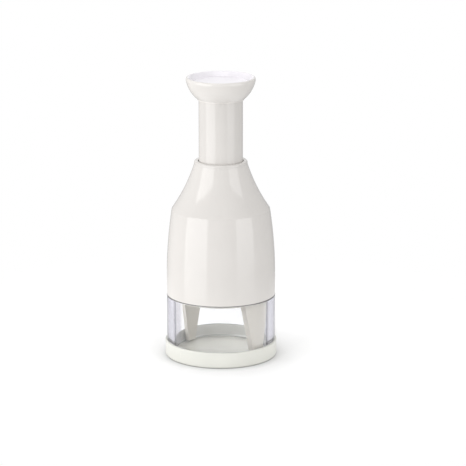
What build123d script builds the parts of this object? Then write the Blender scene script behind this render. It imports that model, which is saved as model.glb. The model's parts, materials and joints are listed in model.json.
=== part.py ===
from build123d import *
from math import atan2, cos, pi, radians, sin, sqrt
import os

# Plunger food chopper, in millimetres. The origin is the middle of the base's underside,
# +Z is up and -Y is the front. It stands at rest with its plunger up: pressing the knob drives
# three zigzag blades down out of the wiper disc, through the clear sleeve, to just above the base.

# ---- driving dimensions -------------------------------------------------------------------

# base
base_radius = 44.45
base_height = 12.8
base_floor = 3.4
base_rim_wall = 2.85
base_bottom_round = 1.8
base_rim_round = 0.7

# clear sleeve
sleeve_step = 1.1
sleeve_wall = 6.15
window_height = 37.0
upper_spigot_height = 8.0
spigot_clearance = 0.3
spigot_end_gap = 0.5
sleeve_edge_round = 0.4

# housing
skirt_step = 0.15
skirt_straight = 14.2
shoulder_inset = 4.2
shoulder_rise = 69.5
shoulder_round = 1.5
housing_wall = 2.0
cone_hollow = 1.5
neck_wall = 3.25
neck_lip_height = 2.6
neck_lip_round = 1.4
neck_bore_round = 0.4
collar_depth = 7.9

# leg cage, with the two legs that hang into the clear sleeve
cage_clearance = 0.3
cage_wall = 3.0
cage_drop = 2.0
cage_lip_thickness = 1.5
cage_lip_width = 5.0
cage_flange_thickness = 3.0
cage_screw_room = 2.3
cage_screw_count = 3
lug_height = 6.0
leg_direction = 48.5
leg_root_width = 24.6
leg_tip_width = 7.8
leg_thickness = 4.0
leg_floor_gap = 1.0
leg_edge_round = 0.6

# wiper disc and the ring that keeps it down
wiper_play = 0.3
wiper_recess = 0.2
wiper_flange_thickness = 1.4
retainer_thickness = 1.6
retainer_width = 1.8

# blades and their carrier
blade_thickness = 0.6
blade_slot_clearance = 0.4
blade_recess = 0.4
blade_floor_gap = 0.8
blade_seat_depth = 2.4
blade_bend_radius = 1.6
blade_bevel_height = 1.4
blade_bevel_share = 0.4
blade_row_spacing = 15.0
blade_wave_depth = 10.0
blade_rim_margin = 2.6
carrier_clearance = 0.9
carrier_thickness = 3.4
carrier_gap = 0.4
carrier_screw_count = 3
carrier_screw_circle = 9.5

# hub, ratchet teeth and running gaps along the axis
hub_radius = 11.6
hub_pocket_radius = 7.4
hub_floor = 1.6
clip_thickness = 0.9
clip_gap = 0.3
clip_radius = 7.0
tooth_count = 12
tooth_height = 0.8
tooth_gap = 0.4
tooth_width_share = 0.9
tooth_root_share = 0.25
crown_land = 0.5
crown_thickness = 2.0
crown_end_gap = 0.2
running_clearance = 0.06
fit_clearance = 0.1

# guide: the bulkhead across the housing and the tube that the plunger slides over
guide_plate_gap = 0.8
guide_plate_thickness = 3.4
guide_plate_clearance = 0.2
guide_tube_wall = 2.8
guide_tube_overrun = 2.6
guide_web_thickness = 2.2
guide_key_width = 3.0
guide_key_height = 0.9
bush_wall = 2.4
bush_gap = 0.6
guide_screw_count = 3
guide_screw_inset = 5.2
boss_radius = 3.4

# plunger
plunger_radius = 17.4
plunger_wall = 1.8
plunger_slide_clearance = 0.4
neck_clearance = 0.45
stop_flange_thickness = 1.6
stop_flange_width = 2.0
bumper_thickness = 0.8
bumper_gap = 0.3
tube_end_gap = 0.4
knob_rest_gap = 4.6
rod_radius = 4.0
rod_tip_step = 0.8

# knob
knob_height = 17.8
knob_radius = 27.4
knob_lip_width = 0.9
knob_lip_height = 1.2
knob_widest_drop = 2.4
knob_bowl_bulge = 1.35
knob_rim_width = 2.4
knob_dish_depth = 3.7
knob_cap_radius = 22.2
knob_cap_thickness = 1.7
knob_cap_ledge = 1.8
knob_cap_dome = 0.25
knob_socket_depth = 7.0
knob_web_thickness = 2.8
knob_boss_radius = 11.0
knob_boss_drop = 2.2

# return spring and the small hardware
spring_radius = 8.2
spring_wire = 1.6
spring_turns = 11
washer_thickness = 0.8
nut_width = 11.0
nut_thickness = 2.3
screw_radius = 1.2
screw_head_radius = 1.9
screw_head_height = 1.5
screw_grip = 5.0
screw_slot_width = 0.5
screw_slot_depth = 0.5
guide_screw_angle = 30.0
cage_screw_angle = 90.0
carrier_screw_angle = 30.0
same_size = 0.001

# ---- heights, worked out from the base upwards --------------------------------------------

seam_z = base_height + window_height
straight_z = seam_z + skirt_straight
shoulder_z = seam_z + shoulder_rise
sleeve_top_z = seam_z + upper_spigot_height
cage_z = seam_z - cage_drop
cage_lip_z = cage_z + cage_lip_thickness
cage_flange_z = sleeve_top_z + cage_screw_room
cage_top_z = cage_flange_z + cage_flange_thickness
leg_tip_z = base_floor + leg_floor_gap
wiper_z = cage_z + wiper_recess
wiper_flange_z = cage_lip_z + wiper_play
wiper_top_z = wiper_flange_z + wiper_flange_thickness
retainer_z = wiper_top_z + wiper_play
blade_edge_z = wiper_z + blade_recess
press_stroke = blade_edge_z - base_floor - blade_floor_gap
carrier_z = wiper_top_z + carrier_gap + press_stroke
carrier_top_z = carrier_z + carrier_thickness
blade_top_z = carrier_z + blade_seat_depth
clip_z = carrier_top_z + clip_gap
hub_floor_z = clip_z + clip_thickness + tooth_gap
hub_teeth_z = hub_floor_z + hub_floor
drive_tip_z = hub_teeth_z + tooth_height + tooth_gap
drive_crown_z = drive_tip_z + tooth_height
drive_top_z = drive_crown_z + crown_thickness
hub_top_z = drive_top_z + crown_end_gap
index_tip_z = hub_top_z + tooth_height + tooth_gap
index_crown_z = index_tip_z + tooth_height
guide_web_z = index_crown_z + crown_thickness
guide_web_top_z = guide_web_z + guide_web_thickness
spring_bottom_z = guide_web_top_z + washer_thickness
guide_plate_z = carrier_top_z + guide_plate_gap
guide_plate_top_z = guide_plate_z + guide_plate_thickness
tube_end_z = guide_plate_top_z + tube_end_gap + press_stroke
bumper_z = tube_end_z + stop_flange_thickness
collar_z = bumper_z + bumper_thickness + bumper_gap
neck_z = collar_z + collar_depth
guide_tube_top_z = neck_z + guide_tube_overrun
lip_z = neck_z + press_stroke + knob_rest_gap
top_z = lip_z + knob_height
knob_boss_z = lip_z - knob_boss_drop
knob_web_z = lip_z + knob_socket_depth
knob_cavity_z = knob_web_z + knob_web_thickness
knob_cap_top_z = top_z - knob_dish_depth
knob_cap_z = knob_cap_top_z - knob_cap_thickness
spring_top_z = knob_boss_z - washer_thickness

# ---- radii, worked out from what fits in what ---------------------------------------------

base_bore = base_radius - base_rim_wall
sleeve_radius = base_radius - sleeve_step
sleeve_bore = sleeve_radius - sleeve_wall
skirt_radius = sleeve_radius - skirt_step
skirt_bore = skirt_radius - housing_wall
shoulder_radius = skirt_radius - shoulder_inset
lower_spigot_radius = base_bore - spigot_clearance
upper_spigot_radius = skirt_bore - spigot_clearance
cage_radius = sleeve_bore - cage_clearance
cage_bore = cage_radius - cage_wall
cage_lip_radius = cage_radius - cage_lip_width
cage_flange_radius = skirt_bore - spigot_clearance
leg_inner_radius = cage_radius - leg_thickness
wiper_radius = cage_bore - cage_clearance
wiper_face_radius = cage_lip_radius - cage_clearance
retainer_bore = cage_bore - retainer_width
carrier_radius = retainer_bore - carrier_clearance
blade_reach = wiper_face_radius - blade_rim_margin
neck_bore = plunger_radius + neck_clearance
neck_radius = neck_bore + neck_wall
plunger_bore = plunger_radius - plunger_wall
guide_tube_radius = plunger_bore - plunger_slide_clearance
guide_tube_bore = guide_tube_radius - guide_tube_wall
stop_radius = plunger_radius + stop_flange_width
rod_bore = rod_radius + running_clearance
bush_radius = rod_bore + bush_wall
crown_inner_radius = bush_radius + bush_gap
lip_radius = plunger_radius + knob_lip_width
knob_rim_radius = knob_radius - knob_rim_width
cage_screw_circle = (cage_radius + cage_flange_radius) / 2

# ---- shared helpers -----------------------------------------------------------------------


def save(builder, name):
    builder.part.label = name
    export_step(builder.part, f"parts/{name}.step")


def circles(builder, radius):
    """The part's circular edges of this radius, from the lowest to the highest."""
    edges = builder.edges().filter_by(GeomType.CIRCLE)
    return edges.filter_by(lambda edge: abs(edge.radius - radius) < same_size).sort_by(Axis.Z)


def leaning_arc_radius(rise, run):
    """Radius of an arc that starts straight up and has come in by run after rising by rise."""
    return (rise * rise + run * run) / (2 * run)


def skirt_bore_at(z):
    """Inner radius of the housing's skirt at the height z."""
    radius = leaning_arc_radius(shoulder_rise - skirt_straight, skirt_radius - shoulder_radius)
    rise = max(0.0, z - straight_z)
    return skirt_bore - (radius - sqrt(radius * radius - rise * rise))


def ring(outer, inner, low, high):
    """A plain ring about the axis, as a part for use with add()."""
    with BuildPart() as band:
        with BuildSketch(Plane.XY.offset(low)):
            Circle(outer)
            Circle(inner, mode=Mode.SUBTRACT)
        extrude(amount=high - low)
    return band.part


def ratchet_teeth(inner, outer, face_z, height):
    """A ring of sawteeth that stands on face_z; with a negative height it hangs from there."""
    width = tooth_width_share * 2 * pi * inner / tooth_count
    root_z = face_z - tooth_root_share * height
    with BuildPart() as tooth:
        with BuildSketch(Plane.YZ.offset(inner)):
            with BuildLine():
                Polyline(
                    (-width / 2, root_z),
                    (width / 2, root_z),
                    (width / 2, face_z + height),
                    (-width / 2, face_z),
                    close=True,
                )
            make_face()
        extrude(amount=outer - inner)
    with BuildPart() as teeth:
        with PolarLocations(0, tooth_count):
            add(tooth.part)
    return teeth.part


def zigzag_points(row):
    """The bends of one blade's centre line, seen from above; row is -1, 0 or 1."""
    count = 5 if row == 0 else 4
    far_y = abs(row) * blade_row_spacing + blade_wave_depth / 2
    half_length = sqrt(blade_reach * blade_reach - far_y * far_y)
    points = []
    for index in range(count):
        side = 1 if index % 2 == 0 else -1
        x = half_length * (2 * index / (count - 1) - 1)
        y = row * blade_row_spacing + side * blade_wave_depth / 2
        points.append((x, y))
    return points


def zigzag_prism(row, width, low, high):
    """A blade's zigzag, or the slot that it runs in, as an upright prism."""
    end_reach = (width - blade_thickness) / 2
    points = [Vector(*point) for point in zigzag_points(row)]
    points[0] = points[0] + (points[0] - points[1]).normalized() * end_reach
    points[-1] = points[-1] + (points[-1] - points[-2]).normalized() * end_reach
    with BuildPart() as prism:
        with BuildSketch(Plane.XY.offset(low)):
            with BuildLine():
                FilletPolyline(*points, radius=blade_bend_radius)
            trace(line_width=width)
        extrude(amount=high - low)
    return prism.part


def screw_set(places, head_z, length):
    """Equal pan-head screws that point up, with the undersides of their heads at head_z."""
    with BuildPart() as screws:
        with BuildSketch(Plane.XY.offset(head_z)):
            with places():
                Circle(screw_head_radius)
        extrude(amount=-screw_head_height)
        with BuildSketch(Plane.XY.offset(head_z)):
            with places():
                Circle(screw_radius)
        extrude(amount=length)
        with BuildSketch(Plane.XY.offset(head_z - screw_head_height)):
            with places():
                Rectangle(screw_radius * 2, screw_slot_width)
                Rectangle(screw_slot_width, screw_radius * 2)
        extrude(amount=screw_slot_depth, mode=Mode.SUBTRACT)
    return screws


def holes(places, radius, low, high):
    """Round holes at the screws' places, as a part to take away from another."""
    with BuildPart() as drills:
        with BuildSketch(Plane.XY.offset(low)):
            with places():
                Circle(radius)
        extrude(amount=high - low)
    return drills.part


def guide_screw_places():
    return PolarLocations(guide_screw_circle, guide_screw_count, start_angle=guide_screw_angle)


def cage_screw_places():
    return PolarLocations(cage_screw_circle, cage_screw_count, start_angle=cage_screw_angle)


def carrier_screw_places():
    return PolarLocations(carrier_screw_circle, carrier_screw_count, start_angle=carrier_screw_angle)


guide_plate_radius = skirt_bore_at(guide_plate_top_z) - guide_plate_clearance
guide_screw_circle = guide_plate_radius - guide_screw_inset
screw_hole_radius = screw_radius + fit_clearance
screw_pocket_radius = screw_head_radius + fit_clearance
screw_pocket_depth = screw_head_height + fit_clearance

# ---- base ---------------------------------------------------------------------------------

# A shallow cup that stands on the table. Its rim carries the step of the clear sleeve.
with BuildPart() as base_cup:
    with BuildSketch():
        Circle(base_radius)
    extrude(amount=base_height)
    with BuildSketch(Plane.XY.offset(base_floor)):
        Circle(base_bore)
    extrude(amount=base_height - base_floor, mode=Mode.SUBTRACT)
    fillet(circles(base_cup, base_radius)[0], radius=base_bottom_round)
    fillet(circles(base_cup, base_radius)[-1], radius=base_rim_round)
save(base_cup, "base_cup")

# ---- clear sleeve -------------------------------------------------------------------------

# Thick clear wall between two steps: the lower spigot sits inside the base's rim, and the
# upper one inside the housing's skirt.
with BuildPart() as clear_sleeve:
    with BuildSketch(Plane.XZ):
        with BuildLine():
            Polyline(
                (sleeve_bore, base_floor + spigot_end_gap),
                (lower_spigot_radius, base_floor + spigot_end_gap),
                (lower_spigot_radius, base_height),
                (sleeve_radius, base_height),
                (sleeve_radius, seam_z),
                (upper_spigot_radius, seam_z),
                (upper_spigot_radius, sleeve_top_z),
                (sleeve_bore, sleeve_top_z),
                close=True,
            )
        make_face()
    revolve(axis=Axis.Z)
    fillet(circles(clear_sleeve, sleeve_radius), radius=sleeve_edge_round)
    ends = clear_sleeve.edges().filter_by(GeomType.CIRCLE).group_by(Axis.Z)
    chamfer(ends[-1], length=sleeve_edge_round)
save(clear_sleeve, "clear_sleeve")

# ---- housing ------------------------------------------------------------------------------

# The outside is a skirt that leans in to the shoulder, then a hollow cone up to the neck.
# Inside, bosses hang from the cone for the guide's screws, and lugs stand out for the cage's.
cone_rise = neck_z - neck_lip_height - shoulder_z
cone_run = shoulder_radius - neck_radius
cone_chord = sqrt(cone_rise * cone_rise + cone_run * cone_run)
cone_lean = atan2(cone_run, cone_rise)
cone_bend = 2 * atan2(2 * cone_hollow, cone_chord)
skirt_lean = 2 * atan2(skirt_radius - shoulder_radius, shoulder_rise - skirt_straight)

# The inside keeps the wall's thickness: its corner lies on the bisector of the two slopes.
cone_foot_lean = cone_lean + cone_bend
corner_share = housing_wall / (1 + cos(cone_foot_lean - skirt_lean))
inner_corner = (
    shoulder_radius - corner_share * (cos(skirt_lean) + cos(cone_foot_lean)),
    shoulder_z - corner_share * (sin(skirt_lean) + sin(cone_foot_lean)),
)
cone_head_lean = cone_lean - cone_bend
inner_head = (
    neck_radius - housing_wall * cos(cone_head_lean),
    neck_z - neck_lip_height - housing_wall * sin(cone_head_lean),
)

with BuildPart() as housing_hollow:
    with BuildSketch(Plane.XZ):
        with BuildLine():
            Polyline((0, inner_head[1]), (0, seam_z), (skirt_bore, seam_z), (skirt_bore, straight_z))
            TangentArc((skirt_bore, straight_z), inner_corner, tangent=(0, 1))
            SagittaArc(inner_corner, inner_head, cone_hollow)
            Line(inner_head, (0, inner_head[1]))
        make_face()
    revolve(axis=Axis.Z)
    split(bisect_by=Plane.XY.offset(collar_z), keep=Keep.BOTTOM)
    add(holes(guide_screw_places, boss_radius, guide_plate_top_z, collar_z), mode=Mode.SUBTRACT)
    add(holes(cage_screw_places, boss_radius, cage_top_z, cage_top_z + lug_height), mode=Mode.SUBTRACT)

with BuildPart() as housing:
    with BuildSketch(Plane.XZ):
        with BuildLine():
            Polyline((0, neck_z), (0, seam_z), (skirt_radius, seam_z), (skirt_radius, straight_z))
            TangentArc((skirt_radius, straight_z), (shoulder_radius, shoulder_z), tangent=(0, 1))
            SagittaArc((shoulder_radius, shoulder_z), (neck_radius, neck_z - neck_lip_height), cone_hollow)
            Polyline((neck_radius, neck_z - neck_lip_height), (neck_radius, neck_z), (0, neck_z))
        make_face()
    revolve(axis=Axis.Z)
    add(housing_hollow.part, mode=Mode.SUBTRACT)
    with BuildSketch(Plane.XY.offset(collar_z)):
        Circle(neck_bore)
    extrude(amount=collar_depth, mode=Mode.SUBTRACT)
    boss_hole_top = guide_plate_top_z + screw_grip + fit_clearance
    add(holes(guide_screw_places, screw_hole_radius, guide_plate_top_z, boss_hole_top), mode=Mode.SUBTRACT)
    lug_hole_top = cage_top_z + screw_grip + fit_clearance
    add(holes(cage_screw_places, screw_hole_radius, cage_top_z, lug_hole_top), mode=Mode.SUBTRACT)
    fillet(circles(housing, neck_radius)[-1], radius=neck_lip_round)
    fillet(circles(housing, neck_bore)[-1], radius=neck_bore_round)
    fillet(circles(housing, shoulder_radius), radius=shoulder_round)
save(housing, "housing")

# ---- leg cage -----------------------------------------------------------------------------

# Both legs are cut at once, from a ring, by a tapered slab that crosses the axis.
leg_turn = radians(leg_direction)
leg_plane = Plane(
    origin=(0, 0, 0),
    x_dir=(cos(leg_turn), sin(leg_turn), 0),
    z_dir=(sin(leg_turn), -cos(leg_turn), 0),
)
with BuildPart() as legs:
    add(ring(cage_radius, leg_inner_radius, leg_tip_z, cage_lip_z))
    with BuildSketch(leg_plane):
        with BuildLine():
            Polyline(
                (-leg_tip_width / 2, leg_tip_z),
                (leg_tip_width / 2, leg_tip_z),
                (leg_root_width / 2, cage_z),
                (leg_root_width / 2, cage_lip_z),
                (-leg_root_width / 2, cage_lip_z),
                (-leg_root_width / 2, cage_z),
                close=True,
            )
        make_face()
    extrude(amount=sleeve_radius, both=True, mode=Mode.INTERSECT)
    tips = legs.faces().filter_by(Axis.Z).filter_by_position(Axis.Z, 0, cage_z).edges()
    fillet(tips, radius=leg_edge_round)

with BuildPart() as leg_cage:
    with BuildSketch(Plane.XZ):
        with BuildLine():
            Polyline(
                (cage_lip_radius, cage_z),
                (cage_radius, cage_z),
                (cage_radius, cage_flange_z),
                (cage_flange_radius, cage_flange_z),
                (cage_flange_radius, cage_top_z),
                (cage_bore, cage_top_z),
                (cage_bore, cage_lip_z),
                (cage_lip_radius, cage_lip_z),
                close=True,
            )
        make_face()
    revolve(axis=Axis.Z)
    add(legs.part)
    add(holes(cage_screw_places, screw_hole_radius, cage_flange_z, cage_top_z), mode=Mode.SUBTRACT)
save(leg_cage, "leg_cage")

cage_screws = screw_set(cage_screw_places, cage_flange_z, cage_flange_thickness + screw_grip)
save(cage_screws, "cage_screws")

# ---- wiper disc ---------------------------------------------------------------------------

# The disc turns with the blades and strips the food off them as they go up through its slots.
slot_width = blade_thickness + 2 * blade_slot_clearance
with BuildPart() as wiper_disc:
    with BuildSketch(Plane.XY.offset(wiper_z)):
        Circle(wiper_face_radius)
    extrude(amount=wiper_flange_z - wiper_z)
    with BuildSketch(Plane.XY.offset(wiper_flange_z)):
        Circle(wiper_radius)
    extrude(amount=wiper_flange_thickness)
    for row in (-1, 0, 1):
        add(zigzag_prism(row, slot_width, wiper_z, wiper_top_z), mode=Mode.SUBTRACT)
save(wiper_disc, "wiper_disc")

with BuildPart() as wiper_retainer:
    retainer_top_z = retainer_z + retainer_thickness
    add(ring(cage_bore - fit_clearance, retainer_bore, retainer_z, retainer_top_z))
    chamfer(wiper_retainer.edges().group_by(Axis.Z)[-1], length=retainer_thickness / 4)
save(wiper_retainer, "wiper_retainer")

# ---- plunger guide, crown and bush --------------------------------------------------------

# A bulkhead screwed up against the housing's bosses, with the tube that the plunger slides on.
# The notches in its rim let it pass the cage's lugs when it goes in from below.
with BuildPart() as plunger_guide:
    add(ring(guide_plate_radius, guide_tube_bore, guide_plate_z, guide_plate_top_z))
    add(ring(guide_tube_radius, guide_tube_bore, guide_plate_z, guide_tube_top_z))
    add(ring(guide_tube_radius, bush_radius + fit_clearance, guide_web_z, guide_web_top_z))
    guide_pocket_top = guide_plate_z + screw_pocket_depth
    notch_radius = boss_radius + bush_gap
    add(holes(guide_screw_places, screw_hole_radius, guide_plate_z, guide_plate_top_z), mode=Mode.SUBTRACT)
    add(holes(guide_screw_places, screw_pocket_radius, guide_plate_z, guide_pocket_top), mode=Mode.SUBTRACT)
    add(holes(cage_screw_places, notch_radius, guide_plate_z, guide_plate_top_z), mode=Mode.SUBTRACT)
    top_edge = plunger_guide.edges().filter_by(GeomType.CIRCLE).group_by(Axis.Z)[-1]
    chamfer(top_edge, length=guide_tube_wall / 4)
    key_reach = guide_tube_radius + guide_key_height
    with BuildSketch(Plane.XY.offset(guide_plate_top_z)):
        Rectangle(2 * key_reach, guide_key_width)
        Circle(guide_tube_radius - guide_tube_wall / 2, mode=Mode.SUBTRACT)
    extrude(amount=guide_tube_top_z - guide_plate_top_z - guide_tube_wall)
save(plunger_guide, "plunger_guide")

guide_screw_length = guide_plate_top_z + screw_grip - guide_pocket_top
guide_screws = screw_set(guide_screw_places, guide_pocket_top, guide_screw_length)
save(guide_screws, "guide_screws")

# The fixed crown turns the hub by half a tooth when the blades come all the way up.
with BuildPart() as index_crown:
    add(ring(guide_tube_bore - fit_clearance, crown_inner_radius, index_crown_z, guide_web_z))
    add(ratchet_teeth(crown_inner_radius + crown_land, hub_radius - crown_land, index_crown_z, -tooth_height))
save(index_crown, "index_crown")

with BuildPart() as rod_bush:
    add(ring(bush_radius, rod_bore, drive_top_z + bush_gap, guide_web_top_z))
    chamfer(rod_bush.edges().group_by(Axis.Z)[0], length=bush_wall / 6)
save(rod_bush, "rod_bush")

with BuildPart() as spring_seat:
    add(ring(guide_tube_bore - bush_gap, rod_bore + bush_gap, guide_web_top_z, spring_bottom_z))
save(spring_seat, "spring_seat")

# ---- return spring ------------------------------------------------------------------------

# Each half turn is an arc in a tilted plane, and the arcs meet in line with each other.
spring_rise = spring_top_z - spring_bottom_z - spring_wire
half_turn_rise = spring_rise / spring_turns / 2
half_turn_reach = sqrt(spring_radius * spring_radius + half_turn_rise * half_turn_rise / 4)
with BuildPart() as return_spring:
    with BuildLine() as coil:
        for index in range(2 * spring_turns):
            side = 1 if index % 2 == 0 else -1
            low = spring_bottom_z + spring_wire / 2 + index * half_turn_rise
            ThreePointArc(
                (side * spring_radius, 0, low),
                (0, side * half_turn_reach, low + half_turn_rise / 2),
                (-side * spring_radius, 0, low + half_turn_rise),
            )
    with BuildSketch(Plane.XZ):
        with Locations((spring_radius, spring_bottom_z + spring_wire / 2)):
            Circle(spring_wire / 2)
    sweep(path=coil.wires()[0])
save(return_spring, "return_spring")

with BuildPart() as spring_washer:
    add(ring(knob_boss_radius, rod_bore + bush_gap, spring_top_z, knob_boss_z))
save(spring_washer, "spring_washer")

# ---- plunger ------------------------------------------------------------------------------

# The tube ends in a flange that stops under the housing's collar, with a soft ring between.
tube_top_z = knob_web_z - fit_clearance
with BuildPart() as plunger_tube:
    add(ring(plunger_radius, plunger_bore, tube_end_z, tube_top_z))
    add(ring(stop_radius, plunger_bore, tube_end_z, bumper_z))
    keyway_reach = key_reach + plunger_slide_clearance
    with BuildSketch(Plane.XY.offset(tube_end_z)):
        Rectangle(2 * keyway_reach, guide_key_width + 2 * plunger_slide_clearance)
    extrude(amount=lip_z - tube_end_z, mode=Mode.SUBTRACT)
save(plunger_tube, "plunger_tube")

with BuildPart() as stop_bumper:
    bumper_top_z = bumper_z + bumper_thickness
    add(ring(stop_radius - fit_clearance, plunger_radius + fit_clearance, bumper_z, bumper_top_z))
save(stop_bumper, "stop_bumper")

# The knob is a bowl with a rounded rim, open at the top, with a socket for the tube below.
knob_widest_z = top_z - knob_widest_drop
with BuildPart() as knob:
    with BuildSketch(Plane.XZ):
        with BuildLine():
            Polyline(
                (knob_cap_radius + fit_clearance, knob_cap_z),
                (knob_cap_radius - knob_cap_ledge, knob_cap_z),
                (knob_cap_radius - knob_cap_ledge, knob_cavity_z),
                (rod_radius + fit_clearance, knob_cavity_z),
                (rod_radius + fit_clearance, knob_boss_z),
                (knob_boss_radius, knob_boss_z),
                (knob_boss_radius, knob_web_z),
                (plunger_radius + fit_clearance, knob_web_z),
                (plunger_radius + fit_clearance, lip_z),
                (lip_radius, lip_z),
                (lip_radius, lip_z + knob_lip_height),
                (lip_radius + knob_lip_width, lip_z + knob_lip_height),
            )
            SagittaArc(
                (lip_radius + knob_lip_width, lip_z + knob_lip_height),
                (knob_radius, knob_widest_z),
                -knob_bowl_bulge,
            )
            Spline(
                (knob_radius, knob_widest_z),
                ((knob_radius + knob_rim_radius) / 2, top_z),
                (knob_rim_radius, top_z - knob_rim_width / 4),
                tangents=[(0, 1), (-1, -1)],
            )
            Polyline(
                (knob_rim_radius, top_z - knob_rim_width / 4),
                (knob_cap_radius + fit_clearance, knob_cap_top_z),
                (knob_cap_radius + fit_clearance, knob_cap_z),
            )
        make_face()
    revolve(axis=Axis.Z)
save(knob, "knob")

with BuildPart() as knob_cap:
    with BuildSketch(Plane.XY.offset(knob_cap_z)):
        Circle(knob_cap_radius)
    extrude(amount=knob_cap_thickness)
    fillet(knob_cap.edges().group_by(Axis.Z)[-1], radius=knob_cap_dome)
save(knob_cap, "knob_cap")

rod_tip_radius = rod_radius - rod_tip_step
rod_top_z = knob_cavity_z + nut_thickness
with BuildPart() as plunger_rod:
    with BuildSketch(Plane.XY.offset(clip_z)):
        Circle(rod_tip_radius)
    extrude(amount=clip_thickness)
    with BuildSketch(Plane.XY.offset(clip_z + clip_thickness)):
        Circle(rod_radius)
    extrude(amount=rod_top_z - clip_z - clip_thickness)
    chamfer(plunger_rod.edges().group_by(Axis.Z)[-1], length=rod_tip_step / 2)
save(plunger_rod, "plunger_rod")

with BuildPart() as rod_end_clip:
    add(ring(clip_radius, rod_tip_radius + fit_clearance, clip_z, clip_z + clip_thickness))
save(rod_end_clip, "rod_end_clip")

with BuildPart() as drive_crown:
    add(ring(clip_radius, rod_radius + fit_clearance, drive_crown_z, drive_top_z))
    add(ratchet_teeth(rod_bore + crown_land, clip_radius - crown_land, drive_crown_z, -tooth_height))
save(drive_crown, "drive_crown")

with BuildPart() as knob_nut:
    with BuildSketch(Plane.XY.offset(knob_cavity_z)):
        RegularPolygon(nut_width / 2, 6, major_radius=False)
        Circle(rod_radius + fit_clearance, mode=Mode.SUBTRACT)
    extrude(amount=nut_thickness)
    chamfer(knob_nut.faces().sort_by(Axis.Z)[-1].outer_wire().edges(), length=nut_thickness / 8)
save(knob_nut, "knob_nut")

# ---- blade unit ---------------------------------------------------------------------------

with BuildPart() as blade_hub:
    with BuildSketch(Plane.XZ):
        with BuildLine():
            Polyline(
                (hub_pocket_radius, carrier_top_z),
                (hub_radius, carrier_top_z),
                (hub_radius, hub_top_z),
                (hub_pocket_radius, hub_top_z),
                (hub_pocket_radius, hub_teeth_z),
                (rod_bore, hub_teeth_z),
                (rod_bore, hub_floor_z),
                (hub_pocket_radius, hub_floor_z),
                close=True,
            )
        make_face()
    revolve(axis=Axis.Z)
    add(ratchet_teeth(crown_inner_radius + crown_land, hub_radius - crown_land, hub_top_z, tooth_height))
    add(ratchet_teeth(rod_bore + crown_land, clip_radius - crown_land, hub_teeth_z, tooth_height))
    hub_hole_top = carrier_top_z + screw_grip + fit_clearance
    add(holes(carrier_screw_places, screw_hole_radius, carrier_top_z, hub_hole_top), mode=Mode.SUBTRACT)
save(blade_hub, "blade_hub")

seat_width = blade_thickness + 2 * fit_clearance
with BuildPart() as blade_carrier:
    with BuildSketch(Plane.XY.offset(carrier_z)):
        Circle(carrier_radius)
    extrude(amount=carrier_thickness)
    chamfer(blade_carrier.edges().group_by(Axis.Z)[-1], length=carrier_thickness / 6)
    for row in (-1, 0, 1):
        add(zigzag_prism(row, seat_width, carrier_z, blade_top_z + fit_clearance), mode=Mode.SUBTRACT)
    carrier_pocket_top = carrier_z + screw_pocket_depth
    add(holes(carrier_screw_places, screw_hole_radius, carrier_z, carrier_top_z), mode=Mode.SUBTRACT)
    add(holes(carrier_screw_places, screw_pocket_radius, carrier_z, carrier_pocket_top), mode=Mode.SUBTRACT)
save(blade_carrier, "blade_carrier")

carrier_screw_length = carrier_top_z + screw_grip - carrier_pocket_top
carrier_screws = screw_set(carrier_screw_places, carrier_pocket_top, carrier_screw_length)
save(carrier_screws, "carrier_screws")

# Three bent steel strips, ground to an edge from both sides along the bottom.
for number, row in enumerate((-1, 0, 1), start=1):
    with BuildPart() as zigzag_blade:
        add(zigzag_prism(row, blade_thickness, blade_edge_z, blade_top_z))
        bottom = zigzag_blade.faces().sort_by(Axis.Z)[0].edges()
        long_edges = bottom.filter_by(lambda e: e.length > blade_thickness * 1.01)
        chamfer(long_edges, length=blade_bevel_height, length2=blade_thickness * blade_bevel_share)
    save(zigzag_blade, f"zigzag_blade_{number}")
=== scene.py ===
import json
import math

import bmesh
import bpy
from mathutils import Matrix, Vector


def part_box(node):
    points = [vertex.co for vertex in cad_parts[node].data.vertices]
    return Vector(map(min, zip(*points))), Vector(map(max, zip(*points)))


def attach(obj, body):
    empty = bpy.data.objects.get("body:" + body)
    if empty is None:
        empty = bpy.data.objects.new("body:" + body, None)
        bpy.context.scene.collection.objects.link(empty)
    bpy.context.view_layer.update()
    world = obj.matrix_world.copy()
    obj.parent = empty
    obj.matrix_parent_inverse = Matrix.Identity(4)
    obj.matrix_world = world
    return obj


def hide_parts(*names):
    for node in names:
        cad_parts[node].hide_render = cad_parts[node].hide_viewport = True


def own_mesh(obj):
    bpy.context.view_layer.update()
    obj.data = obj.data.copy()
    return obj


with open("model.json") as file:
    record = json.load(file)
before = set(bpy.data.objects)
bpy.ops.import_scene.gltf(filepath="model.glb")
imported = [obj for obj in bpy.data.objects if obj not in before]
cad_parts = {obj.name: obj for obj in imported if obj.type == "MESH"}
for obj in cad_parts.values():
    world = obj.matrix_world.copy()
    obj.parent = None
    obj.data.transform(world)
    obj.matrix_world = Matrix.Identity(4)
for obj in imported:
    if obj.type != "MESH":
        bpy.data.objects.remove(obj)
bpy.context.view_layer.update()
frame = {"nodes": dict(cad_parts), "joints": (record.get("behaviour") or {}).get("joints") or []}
nodes = frame["nodes"]

# ---- housing and plunger tube ---------------------------------------------------------------
# Injection-moulded in warm white ABS, smooth and glossy with the faintest ripple. Hands dull the
# gloss in patches, and a thin grey line is painted along the joint under the skirt: painted shade of
# the gap there, with its dust.

seam_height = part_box("housing")[0].z
seam_dust_and_shade_band = 0.00065
warm_white = (0.727, 0.701, 0.674)
# painted shade: the grey of the joint under the skirt stands in for its shadow, with some dust
seam_dust_and_shade_grey = (0.2, 0.195, 0.19)
tints_per_metre = 38.0
smears_per_metre = 120.0
rubs_across = 700.0
rubs_along = 60.0


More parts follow.
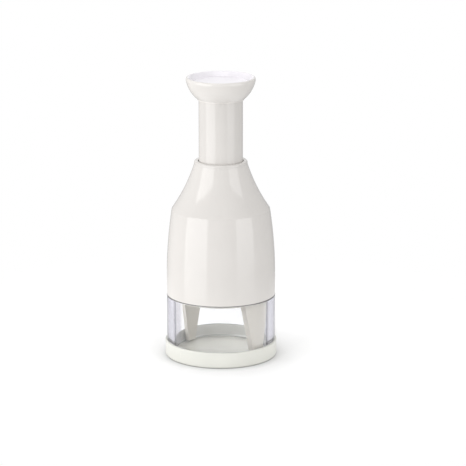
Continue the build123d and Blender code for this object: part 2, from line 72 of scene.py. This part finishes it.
class Wire:
    """An output socket of a shader node. Arithmetic on it adds Math nodes to its tree."""

    def __init__(self, tree, socket=None):
        self.tree = tree
        self.socket = socket

    def node(self, kind, settings=None, inputs=None, output=0):
        """A new node of this kind: its settings first, then the values or links of its sockets."""
        made = self.tree.nodes.new("ShaderNode" + kind)
        for name, value in (settings or {}).items():
            if name == "stops":
                stops = made.color_ramp.elements
                stops.remove(stops[1])
                stops[0].position, stops[0].color = value[0]
                for position, colour in value[1:]:
                    stops.new(position).color = colour
            else:
                setattr(made, name, value)
        for name, value in (inputs or {}).items():
            if isinstance(value, Wire):
                self.tree.links.new(value.socket, made.inputs[name])
            else:
                made.inputs[name].default_value = value
        return Wire(self.tree, made.outputs[output])

    def math(self, operation, *values):
        return self.node("Math", {"operation": operation}, dict(enumerate(values)))

    def __add__(self, other):
        return self.math("ADD", self, other)

    def __sub__(self, other):
        return self.math("SUBTRACT", self, other)

    def __rsub__(self, other):
        return self.math("SUBTRACT", other, self)

    def __mul__(self, other):
        return self.math("MULTIPLY", self, other)

    __radd__ = __add__
    __rmul__ = __mul__


def new_material(name):
    """An empty material, the wire that its nodes start from, and its place on an object."""
    material = bpy.data.materials.new(name)
    material.use_nodes = True
    material.node_tree.nodes.clear()
    start = Wire(material.node_tree)
    place = start.node("TexCoord", output="Object")
    return material, start, place


def close_material(start, shader):
    output = start.tree.nodes.new("ShaderNodeOutputMaterial")
    start.tree.links.new(shader.socket, output.inputs["Surface"])


def finish_nodes(material, *names):
    """Gives each of these nodes one material all over."""
    for name in names:
        slots = nodes[name].data.materials
        slots.clear()
        slots.append(material)


def noise(place, scale, detail=2.0, roughness=0.5):
    """Soft noise from 0 to 1 over the object, with scale in grains per metre."""
    inputs = {"Vector": place, "Scale": scale, "Detail": detail, "Roughness": roughness}
    return place.node("TexNoise", inputs=inputs)


def streaks(place, across, along):
    """Noise drawn out into streaks, so many per metre across X and Y and so many up Z."""
    stretch = (across, across, along)
    drawn = place.node("VectorMath", {"operation": "MULTIPLY"}, {0: place, 1: stretch})
    return noise(drawn, scale=1.0, detail=3.0, roughness=0.6)


def ramp(value, *stops):
    """Colours over a value, as stops of a position from 0 to 1 and a colour."""
    opaque = [(position, tuple(colour) + (1.0,)) for position, colour in stops]
    return value.node("ValToRGB", {"stops": opaque}, {"Fac": value})


def shade(colour, factor):
    return tuple(min(1.0, channel * factor) for channel in colour)


def lay_over(under, over, mask):
    """The colour over laid on the colour under where the mask is 1."""
    # A Mix node takes its two colours at its sockets 6 and 7, and gives the mixed one at 2.
    under, over = (c if isinstance(c, Wire) else tuple(c) + (1.0,) for c in (under, over))
    return mask.node("Mix", {"data_type": "RGBA"}, {0: mask, 6: under, 7: over}, output=2)


def between(value, low, high):
    """0 where the value is at low or beyond, 1 where it is at high or beyond, smooth between."""
    settings = {"interpolation_type": "SMOOTHSTEP"}
    return value.node("MapRange", settings, {"Value": value, "From Min": low, "From Max": high})


def height_of(place):
    return place.node("SeparateXYZ", inputs={"Vector": place}, output="Z")


def moulded(name, colour, gloss, grain_size, grain_height, smudge=0.05, marks=()):
    """Moulded plastic with a fine surface grain, handling smudges in its gloss and hardly any change
    of colour. Each mark is a function of place that gives a mask, and the colour laid there."""
    material, start, place = new_material(name)
    tint = noise(place, tints_per_metre, detail=3.0)
    base = ramp(tint, (0.3, shade(colour, 0.98)), (0.7, shade(colour, 1.012)))
    for mask, mark_colour in marks:
        base = lay_over(base, mark_colour, mask(place))
    smear = noise(place, smears_per_metre, detail=4.0, roughness=0.6)
    rubs = between(streaks(place, rubs_across, rubs_along), 0.62, 0.72)
    grain = noise(place, 1.0 / grain_size)
    bump = grain.node("Bump", inputs={"Height": grain, "Distance": grain_height, "Strength": 0.5})
    shader = start.node(
        "BsdfPrincipled",
        inputs={
            "Base Color": base,
            "Roughness": smear * smudge + rubs * (smudge / 2) + (gloss - smudge / 2),
            "Normal": bump,
            "IOR": 1.55,
        },
    )
    close_material(start, shader)
    return material


def seam_dust_and_shade_mask(place):
    """1 on the skirt's lowest edge, with a ragged upper side: the painted shade of the joint."""
    ragged = noise(place, scale=500.0, detail=3.0) * (seam_dust_and_shade_band / 2)
    return between(height_of(place) - ragged, seam_height + seam_dust_and_shade_band, seam_height + seam_dust_and_shade_band / 2)


ripple = {"grain_size": 0.0011, "grain_height": 0.00001}
seam_dust_and_shade_marks = ((seam_dust_and_shade_mask, seam_dust_and_shade_grey),)
# The housing carries the painted shade of the joint, with its dust, along its lowest edge.
housing_abs = moulded("housing_abs", warm_white, gloss=0.085, marks=seam_dust_and_shade_marks, **ripple)
finish_nodes(housing_abs, "housing")
tube_abs = moulded("plunger_abs", warm_white, gloss=0.085, **ripple)
finish_nodes(tube_abs, "plunger_tube")

# ---- base cup -----------------------------------------------------------------------------
# A shallow cup moulded in a creamier, softer plastic than the housing, with a duller gloss. It is
# pushed on to the foot of the clear sleeve and closes it.

cream = (0.775, 0.775, 0.72)
base_grain = {"grain_size": 0.0007, "grain_height": 0.00004}
finish_nodes(moulded("base_polyethylene", cream, gloss=0.25, **base_grain), "base_cup")

# ---- knob and its cap -----------------------------------------------------------------------
# The bowl of the knob is the housing's warm white painted lighter, for the light bounced up under
# it (painted light). The inside of its dish is painted a cooler, brighter white still, for the light
# the dish catches (painted light), and the disc that closes it is the same cool white.

dish_radius = 0.0262
dish_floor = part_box("knob_cap")[0].z
dish_edge = 0.0003
# painted light: lighter than the housing's white, for the light bounced up under the bowl
bowl_white_painted_lighter = (0.8, 0.772, 0.742)
cool_white = (0.95, 0.925, 0.965)


def reach_of(place):
    """How far a place lies from the upright axis."""
    flat = place.node("VectorMath", {"operation": "MULTIPLY"}, {0: place, 1: (1.0, 1.0, 0.0)})
    return flat.node("VectorMath", {"operation": "LENGTH"}, {0: flat}, output="Value")


def dish_painted_light_mask(place):
    """1 in the dish of the knob above the disc, where a brighter white is painted as light; 0
    elsewhere.
    """
    inside = between(reach_of(place), dish_radius + dish_edge, dish_radius - dish_edge)
    return inside * between(height_of(place), dish_floor, dish_floor + dish_edge)


# painted light: the inside of the dish is laid in a brighter white than the bowl
dish_painted_light_marks = ((dish_painted_light_mask, cool_white),)
finish_nodes(moulded("knob_abs", bowl_white_painted_lighter, gloss=0.1, marks=dish_painted_light_marks, **ripple), "knob")
finish_nodes(moulded("cap_abs", cool_white, gloss=0.2, **ripple), "knob_cap")

# ---- clear sleeve -------------------------------------------------------------------------
# A thick-walled tube in clear styrene, polished all over, so that its wall bends what is behind.
# Seen edge on, the wall is painted a grey-violet that darkens to near black at the far edge, for
# the darker surroundings it bends into view (painted shade); on the outside that begins with a
# painted dark line, where the bore goes out of sight behind the wall.

camera_dip = 14.33
wall_middle = 0.0403
wall_edge = 0.0001
clear_cast = (0.98, 0.982, 0.99)
# painted shade: the grey-violet, the dark line and the near black stand in for darker surroundings
painted_edge_violet = (0.46, 0.45, 0.53)
painted_bore_line = (0.29, 0.285, 0.33)
painted_far_edge_shade = ((0.7, (0.4, 0.39, 0.48)), (0.82, (0.16, 0.16, 0.2)))


def turned_away(start):
    """0 where the wall faces the eye and 1 where it is seen edge on. It goes by the way round the
    tube alone, so that a look from higher up gives the same."""
    facing = start.node("LayerWeight", inputs={"Blend": 0.5}, output="Facing")
    upright = start.node("CombineXYZ", inputs={"Z": 1.0})
    from_side = start.node("LayerWeight", inputs={"Blend": 0.5, "Normal": upright}, output="Facing")
    level = from_side.math("SQRT", from_side * (2.0 - from_side))
    towards = facing.math("DIVIDE", 1.0 - facing, level)
    return 1.0 - towards * math.cos(math.radians(camera_dip))


clear_styrene, start, place = new_material("clear_styrene")
edge_on = turned_away(start)
# painted shade: the wall turns grey-violet and near black towards its edges
inner_painted_edge_shade = ramp(edge_on, (0.46, clear_cast), (0.55, painted_edge_violet), *painted_far_edge_shade)
painted_bore_line_stops = ((0.455, clear_cast), (0.475, painted_bore_line), (0.515, painted_bore_line), (0.545, painted_edge_violet))
# painted shade: on the outside the painted dark line of the bore comes first
outer_painted_edge_shade = ramp(edge_on, *painted_bore_line_stops, *painted_far_edge_shade)
outside = between(reach_of(place), wall_middle - wall_edge, wall_middle + wall_edge)
painted_edge_shade = lay_over(inner_painted_edge_shade, outer_painted_edge_shade, outside)
haze = noise(place, scale=90.0, detail=4.0, roughness=0.6)
hairlines = between(streaks(place, across=1300.0, along=45.0), 0.66, 0.74)
shader = start.node(
    "BsdfPrincipled",
    inputs={
        "Base Color": painted_edge_shade,
        "Roughness": haze * 0.03 + hairlines * 0.04,
        "Transmission Weight": 1.0,
        "IOR": 1.5,
    },
)
close_material(start, shader)
finish_nodes(clear_styrene, "clear_sleeve")
nodes["clear_sleeve"].visible_shadow = False

# ---- leg cage, wiper disc, retainer and plunger guide -----------------------------------------
# Satin off-white nylon with the fine spark texture of its mould. The legs hang into the sleeve
# from the ring of the cage, and the plunger guide is screwed in above them.

off_white = (0.625, 0.597, 0.542)
spark_grain = {"grain_size": 0.0004, "grain_height": 0.00006}
satin_nylon = moulded("satin_nylon", off_white, gloss=0.42, smudge=0.12, **spark_grain)
finish_nodes(satin_nylon, "leg_cage", "wiper_disc", "wiper_retainer", "plunger_guide")

# ---- ratchet and blade carrier ----------------------------------------------------------------
# The hub, the crown that it steps against and the carrier are milky acetal, a dense and slippery
# plastic, burnished to a faint gloss in patches.

milky_white = (0.74, 0.735, 0.7)
acetal_grain = {"grain_size": 0.0006, "grain_height": 0.00003}
acetal = moulded("ratchet_acetal", milky_white, gloss=0.3, smudge=0.14, **acetal_grain)
finish_nodes(acetal, "blade_hub", "blade_carrier", "index_crown")

# ---- blades -------------------------------------------------------------------------------
# Three zigzag strips of stainless steel, brushed up and down, each with a ground bevel along its
# lower edge that is brighter and smoother.

blade_edge_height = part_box("zigzag_blade_1")[0].z
blade_bevel = 0.0014
bevel_line = 0.00005
stains_per_metre = 150.0
line_roughness = 0.16
stain_roughness = 0.06
ground_smoother = 0.12


def metal(name, colour, gloss, across, along, groove, ground=None):
    """Metal with fine tool lines drawn out by across and along, and faint stains. The mask ground,
    a function of place, picks out where the surface is freshly ground."""
    material, start, place = new_material(name)
    lines = streaks(place, across, along)
    stain = noise(place, stains_per_metre, detail=4.0, roughness=0.6)
    mottle = lines * 0.5 + stain * 0.5
    base = ramp(mottle, (0.35, shade(colour, 0.82)), (0.65, shade(colour, 1.08)))
    least_rough = gloss - (line_roughness + stain_roughness) / 2
    roughness = lines * line_roughness + stain * stain_roughness + least_rough
    if ground:
        fresh = ground(place)
        base = lay_over(base, shade(colour, 1.2), fresh)
        roughness = roughness - fresh * ground_smoother
    bump = lines.node("Bump", inputs={"Height": lines, "Distance": groove, "Strength": 0.4})
    shader = start.node(
        "BsdfPrincipled",
        inputs={"Base Color": base, "Metallic": 1.0, "Roughness": roughness, "Normal": bump},
    )
    close_material(start, shader)
    return material


def bevel_mark(place):
    edge = blade_edge_height + blade_bevel
    return between(height_of(place), edge + bevel_line, edge - bevel_line)


brushed = {"across": 1800.0, "along": 60.0, "groove": 0.00002}
blade_steel = metal("blade_steel", (0.47, 0.47, 0.48), gloss=0.34, ground=bevel_mark, **brushed)
finish_nodes(blade_steel, "zigzag_blade_1", "zigzag_blade_2", "zigzag_blade_3")

# ---- rod, drive crown, clip, washers, nut and screws --------------------------------------------
# The rod is ground bright all round. The drive crown, the clip, the washers, the nut and the
# screws are turned or stamped from stainless steel and tumbled smooth.

ground_round = {"across": 300.0, "along": 6000.0, "groove": 0.00001}
rod_steel = metal("ground_rod_steel", (0.56, 0.56, 0.57), gloss=0.2, **ground_round)
finish_nodes(rod_steel, "plunger_rod")
tumbled = {"across": 1500.0, "along": 1500.0, "groove": 0.00002}
small_steel = metal("small_part_steel", (0.52, 0.52, 0.53), gloss=0.28, **tumbled)
finish_nodes(small_steel, "drive_crown", "rod_end_clip", "spring_seat", "spring_washer", "knob_nut")
turned = {"across": 900.0, "along": 5000.0, "groove": 0.00002}
screw_steel = metal("screw_steel", (0.5, 0.5, 0.505), gloss=0.25, **turned)
finish_nodes(screw_steel, "cage_screws", "guide_screws", "carrier_screws")

# ---- return spring --------------------------------------------------------------------------
# Cold-drawn spring wire, a darker grey than the stamped parts, with the faint lines of the die. On
# the chopper its top goes down with the plunger while its foot stays on its seat; here a merged copy
# is carried whole with the plunger, and the share of its length left when pressed is only worked
# out.

merge_distance = 0.000001
drawn_wire = {"across": 2500.0, "along": 2500.0, "groove": 0.00002}
spring_wire = metal("spring_wire", (0.42, 0.42, 0.44), gloss=0.3, **drawn_wire)
finish_nodes(spring_wire, "return_spring")
spring_foot, spring_top = (corner.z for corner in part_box("return_spring"))
stroke = next(joint["range_m"][1] for joint in frame["joints"] if joint["name"] == "press")
spring_mesh = nodes["return_spring"].data.copy()
coil = bmesh.new()
coil.from_mesh(spring_mesh)
bmesh.ops.remove_doubles(coil, verts=coil.verts, dist=merge_distance)
coil.to_mesh(spring_mesh)
coil.free()
spring = bpy.data.objects.new("working_spring", spring_mesh)
bpy.context.scene.collection.objects.link(spring)
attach(spring, "plunger")
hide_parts("return_spring")
pressed_share = 1.0 - stroke / (spring_top - spring_foot)
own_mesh(spring)

# ---- rod bush -------------------------------------------------------------------------------
# A plain bearing of sintered bronze, pressed into the web of the guide round the rod. It is
# freckled with the dark pores that hold its oil.

pores_per_metre = 2600.0
pore_depth = 0.00002
tarnished_bronze = (0.5, 0.34, 0.17)
bright_bronze = (0.66, 0.47, 0.25)
oiled_pore = (0.2, 0.13, 0.07)
bronze, start, place = new_material("sintered_bronze")
pores = between(noise(place, pores_per_metre), 0.56, 0.66)
tarnish = noise(place, scale=220.0, detail=3.0)
bronze_colour = ramp(tarnish, (0.3, tarnished_bronze), (0.7, bright_bronze))
bronze_colour = lay_over(bronze_colour, oiled_pore, pores * 0.7)
pit_inputs = {"Height": pores, "Distance": pore_depth, "Strength": 0.6}
pitted = pores.node("Bump", {"invert": True}, pit_inputs)
shader = start.node(
    "BsdfPrincipled",
    inputs={
        "Base Color": bronze_colour,
        "Metallic": 1.0,
        "Roughness": pores * 0.25 + tarnish * 0.1 + 0.28,
        "Normal": pitted,
    },
)
close_material(start, shader)
finish_nodes(bronze, "rod_bush")

# ---- stop bumper ----------------------------------------------------------------------------
# A soft black rubber ring that lies on the flange of the plunger tube and quietens its return.
# Its grain is open and holds a little dust.

clean_rubber = (0.025, 0.025, 0.027)
dusty_rubber = (0.07, 0.068, 0.066)
rubber_grain_height = 0.00008
bumper_rubber, start, place = new_material("bumper_rubber")
dust = noise(place, scale=700.0, detail=5.0, roughness=0.7)
rubber_colour = ramp(dust, (0.35, clean_rubber), (0.75, dusty_rubber))
grain_inputs = {"Height": dust, "Distance": rubber_grain_height, "Strength": 0.7}
rubber_grain = dust.node("Bump", inputs=grain_inputs)
shader = start.node(
    "BsdfPrincipled",
    inputs={"Base Color": rubber_colour, "Roughness": dust * 0.3 + 0.5, "Normal": rubber_grain},
)
close_material(start, shader)
finish_nodes(bumper_rubber, "stop_bumper")

# ---- table, backdrop, lights and camera -----------------------------------------------------
# A pale round table top fades into a white backdrop. Tall soft boxes stand left and right of the
# camera, the left one stronger, with one overhead and one behind, a white reflector further round
# on the left, and a low card at the back that only gloss shows.

table_reach = 0.36
table_drop = 0.0001
fade_start = 0.1
fade_end = 0.34
contact_reach = 0.036
contact_shade = 0.62
table_mirrored = 0.5
own_glow = 0.14
seen_glow = 0.09
table_mesh = bpy.data.meshes.new("table_top")
table = bpy.data.objects.new("table_top", table_mesh)
bpy.context.scene.collection.objects.link(table)
disc = bmesh.new()
bmesh.ops.create_circle(disc, cap_ends=True, segments=96, radius=table_reach)
bmesh.ops.translate(disc, verts=disc.verts, vec=(0.0, 0.0, -table_drop))
disc.to_mesh(table_mesh)
disc.free()


def seen_rays(start, mirrored):
    """1 for the rays that show a thing itself or through something clear, mirrored for those that
    show its reflection, and 0 for those that only carry light."""
    camera_ray = start.node("LightPath", output="Is Camera Ray")
    glossy_ray = start.node("LightPath", output="Is Glossy Ray")
    clear_ray = start.node("LightPath", output="Is Transmission Ray")
    direct = camera_ray.math("MAXIMUM", camera_ray, clear_ray)
    return direct + glossy_ray * (1.0 - direct) * mirrored


table_paint, start, place = new_material("pale_table")
tone = noise(place, scale=60.0, detail=3.0)
table_colour = ramp(tone, (0.3, (0.88, 0.88, 0.88)), (0.7, (0.92, 0.92, 0.92)))
open_above = start.node("AmbientOcclusion", inputs={"Distance": contact_reach}, output="AO")
open_above = open_above * contact_shade + (1.0 - contact_shade)
table_colour = lay_over((0.0, 0.0, 0.0), table_colour, open_above)
matt = start.node("BsdfDiffuse", inputs={"Color": table_colour})
table_glow = (seen_rays(start, table_mirrored) * seen_glow + own_glow) * open_above
lift = start.node("Emission", inputs={"Strength": table_glow})
lit = start.node("AddShader", inputs={0: matt, 1: lift})
open_air = start.node("BsdfTransparent")
distance = place.node("VectorMath", {"operation": "LENGTH"}, {0: place}, output="Value")
fade = distance.node(
    "MapRange",
    {"interpolation_type": "SMOOTHERSTEP"},
    {"Value": distance, "From Min": fade_start, "From Max": fade_end},
)
close_material(start, start.node("MixShader", inputs={0: fade, 1: lit, 2: open_air}))
table_mesh.materials.append(table_paint)

ambient = 0.533
sky_mirrored = -0.22
world = bpy.data.worlds.new("studio")
bpy.context.scene.world = world
world.use_nodes = True
world.node_tree.nodes.clear()
sky = Wire(world.node_tree)
sky_level = seen_rays(sky, sky_mirrored) * (1.0 - ambient) + ambient
backdrop = sky.node("Background", inputs={"Color": (1.0, 1.0, 1.0, 1.0), "Strength": sky_level})
world_output = world.node_tree.nodes.new("ShaderNodeOutputWorld")
world.node_tree.links.new(backdrop.socket, world_output.inputs["Surface"])


def soft_box(name, place, aim, width, tall, radiance, foot=1.0):
    """A rectangular soft box at place that faces aim, with this radiance over its front, and less
    towards its foot, where the share of it that is left is foot."""
    light = bpy.data.lights.new(name, "AREA")
    light.shape = "RECTANGLE"
    light.size = width
    light.size_y = tall
    light.energy = radiance * math.pi * width * tall
    if foot < 1.0:
        light.use_nodes = True
        light.node_tree.nodes.clear()
        glow = Wire(light.node_tree)
        front = glow.node("NewGeometry", output="Parametric")
        up = front.node("SeparateXYZ", inputs={"Vector": front}, output="Y")
        share = between(up, foot_low, foot_high) * (1.0 - foot) + foot
        emission = glow.node("Emission", inputs={"Strength": share})
        light_output = light.node_tree.nodes.new("ShaderNodeOutputLight")
        light.node_tree.links.new(emission.socket, light_output.inputs["Surface"])
    lamp = bpy.data.objects.new(name, light)
    bpy.context.scene.collection.objects.link(lamp)
    lamp.location = place
    lamp.rotation_euler = (Vector(aim) - Vector(place)).to_track_quat("-Z", "Y").to_euler()
    return lamp


box_distance = 1.4
box_low = -0.5
aim_height = 0.136
foot_low = 0.12
foot_high = 0.4
for name, middle, half_angle, top_angle, radiance, foot in (
    ("left_box", -55.7, 26.3, 33.8, 2.25, 0.62),
    ("right_box", 54.5, 20.5, 32.5, 1.6, 0.3),
    ("left_reflector", -116.0, 30.0, 33.8, 0.74, 1.0),
):
    turn = math.radians(middle)
    box_top = aim_height + box_distance * math.tan(math.radians(top_angle))
    box_height = (box_low + box_top) / 2
    lamp = soft_box(
        name,
        place=(box_distance * math.sin(turn), -box_distance * math.cos(turn), box_height),
        aim=(0.0, 0.0, box_height),
        width=2 * box_distance * math.tan(math.radians(half_angle)),
        tall=box_top - box_low,
        radiance=radiance,
        foot=foot,
    )
    lamp.visible_glossy = name != "left_reflector"
knob_foot = (0.0, 0.0, 0.2)
soft_box("top_box", (0.0, -0.4, 1.6), knob_foot, width=0.9, tall=0.9, radiance=1.55)
soft_box("back_box", (-0.1, 1.25, 1.45), knob_foot, width=1.6, tall=0.8, radiance=1.4)
knob_dish = (0.0, 0.0, 0.22)
far_card = soft_box("far_card", (0.0, 1.25, 0.56), knob_dish, width=1.0, tall=0.45, radiance=0.55)
far_card.visible_camera = far_card.visible_diffuse = far_card.visible_transmission = False

camera_data = bpy.data.cameras.new("camera")
camera = bpy.data.objects.new("camera", camera_data)
bpy.context.scene.collection.objects.link(camera)
camera_data.sensor_width = 36.0
camera_data.lens = 200.8
camera.location = (0.0096, -2.0, 0.61)
camera.rotation_euler = (math.radians(90.0 - camera_dip), 0.0, 0.0)
bpy.context.scene.camera = camera
bpy.context.scene.view_settings.view_transform = "Standard"
